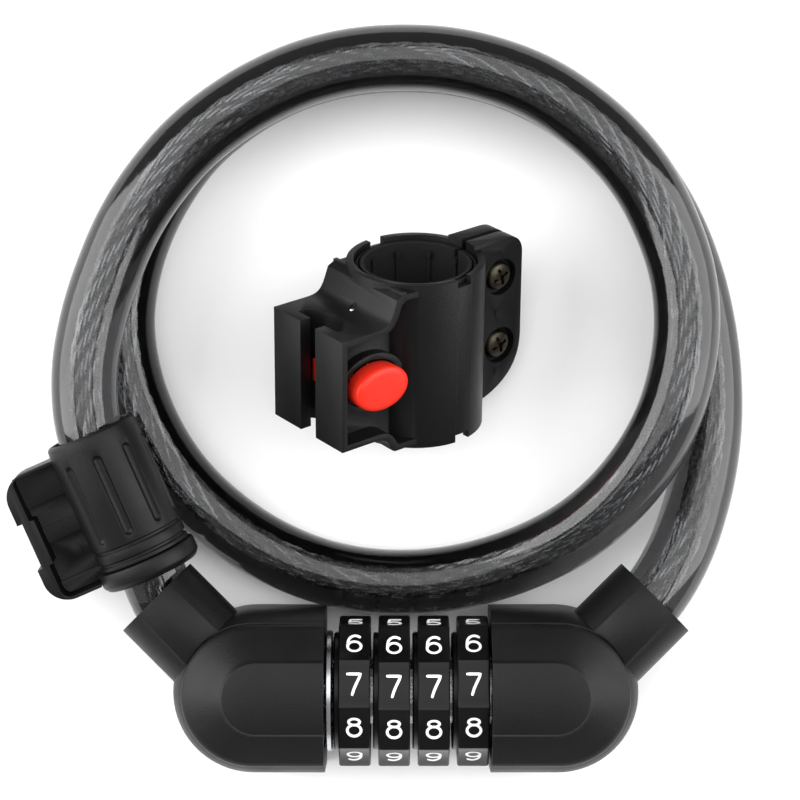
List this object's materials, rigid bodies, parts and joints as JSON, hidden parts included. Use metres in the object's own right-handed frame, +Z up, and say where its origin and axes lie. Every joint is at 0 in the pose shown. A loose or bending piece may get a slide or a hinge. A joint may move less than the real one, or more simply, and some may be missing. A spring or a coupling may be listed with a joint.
{
  "type": "cable lock",
  "caption": "Combination cable lock: number wheels between two end housings, a smoky sleeved steel cable in a loose coil, a cable carrier and a tube clamp bracket with a push button.",
  "frame": {"origin": "on the floor, under the middle of the head and bracket taken together, without the cable and what is on it", "axes": "+X along the head from the plug to the lock housing, +Y from the head towards the cable's coil, +Z up from the flat backs of the housings"},
  "size_m": [0.1344, 0.1364, 0.0429],
  "materials": {
    "shell": "fine matt grain",
    "wheel": "satin with white digits",
    "steel": "bright",
    "zinc": "die-cast",
    "jacket": "smoky see-through, polished",
    "rope": "bright stranded wire",
    "rubber": "matt",
    "bronze": "dark plated",
    "button": "satin orange-red"
  },
  "bodies": {
    "lock": {"lock_housing": "shell", "lock_front_cover": "shell", "lock_block": "zinc", "lock_core": "zinc", "core_end_plate": "steel", "detent_strip": "steel", "core_pin": "steel", "cable_ferrule_lock": "steel", "ferrule_pin_lock": "steel", "cable_jacket_2": "jacket", "cable_jacket_4": "jacket", "steel_rope_2": "rope", "steel_rope_4": "rope"},
    "wheel_1": {"number_wheel_1": "wheel", "code_ring_1": "zinc"},
    "wheel_2": {"number_wheel_2": "wheel", "code_ring_2": "zinc"},
    "wheel_3": {"number_wheel_3": "wheel", "code_ring_3": "zinc"},
    "wheel_4": {"number_wheel_4": "wheel", "code_ring_4": "zinc"},
    "plug": {"plug_housing": "shell", "plug_front_cover": "shell", "plug_block": "zinc", "locking_bolt": "steel", "bolt_pin": "steel", "cable_ferrule_plug": "steel", "ferrule_pin_plug": "steel", "cable_jacket_1": "jacket", "cable_jacket_3": "jacket", "steel_rope_1": "rope", "steel_rope_3": "rope"},
    "carrier": {"carrier_body": "shell", "carrier_bush": "rubber"},
    "collar": {"carrier_collar": "shell"},
    "bracket": {"bracket_body": "shell", "bracket_liner": "rubber", "bracket_inner_liner": "rubber", "clamp_screw_upper": "bronze", "clamp_screw_lower": "bronze", "clamp_nut_upper": "steel", "clamp_nut_lower": "steel", "rail_pin": "steel", "button_spring": "steel"},
    "button": {"release_button": "button"}
  },
  "joints": [
    {"name": "wheel_1_turn", "type": "hinge", "parent": "lock", "child": "wheel_1", "pos_m": [-0.0092, -0.03511, 0.0145], "axis": [1, 0, 0], "continuous": true},
    {"name": "wheel_2_turn", "type": "hinge", "parent": "lock", "child": "wheel_2", "pos_m": [-0.0021, -0.03511, 0.0145], "axis": [1, 0, 0], "continuous": true},
    {"name": "wheel_3_turn", "type": "hinge", "parent": "lock", "child": "wheel_3", "pos_m": [0.005, -0.03511, 0.0145], "axis": [1, 0, 0], "continuous": true},
    {"name": "wheel_4_turn", "type": "hinge", "parent": "lock", "child": "wheel_4", "pos_m": [0.0121, -0.03511, 0.0145], "axis": [1, 0, 0], "continuous": true},
    {"name": "plug_pull", "type": "slide", "parent": "lock", "child": "plug", "axis": [-1, 0, 0], "range_m": [0, 0.034]},
    {"name": "carrier_turn", "type": "hinge", "parent": "plug", "child": "carrier", "pos_m": [-0.04585, -0.01363, 0.0152], "axis": [-0.3981, 0.9116, 0.1026], "range_deg": [-30, 150]},
    {"name": "collar_turn", "type": "hinge", "parent": "carrier", "child": "collar", "pos_m": [-0.04585, -0.01363, 0.0152], "axis": [-0.3981, 0.9116, 0.1026], "range_deg": [-180, 0]},
    {"name": "bracket_lift", "type": "slide", "parent": "lock", "child": "bracket", "axis": [0, 0, 1], "range_m": [0, 0.05]},
    {"name": "button_press", "type": "slide", "parent": "bracket", "child": "button", "axis": [-0.6259, 0.342, -0.7009], "range_m": [0, 0.002], "stiffness_N_per_m": 400, "springref_m": -0.001, "deforming": ["button_spring"]}
  ]
}
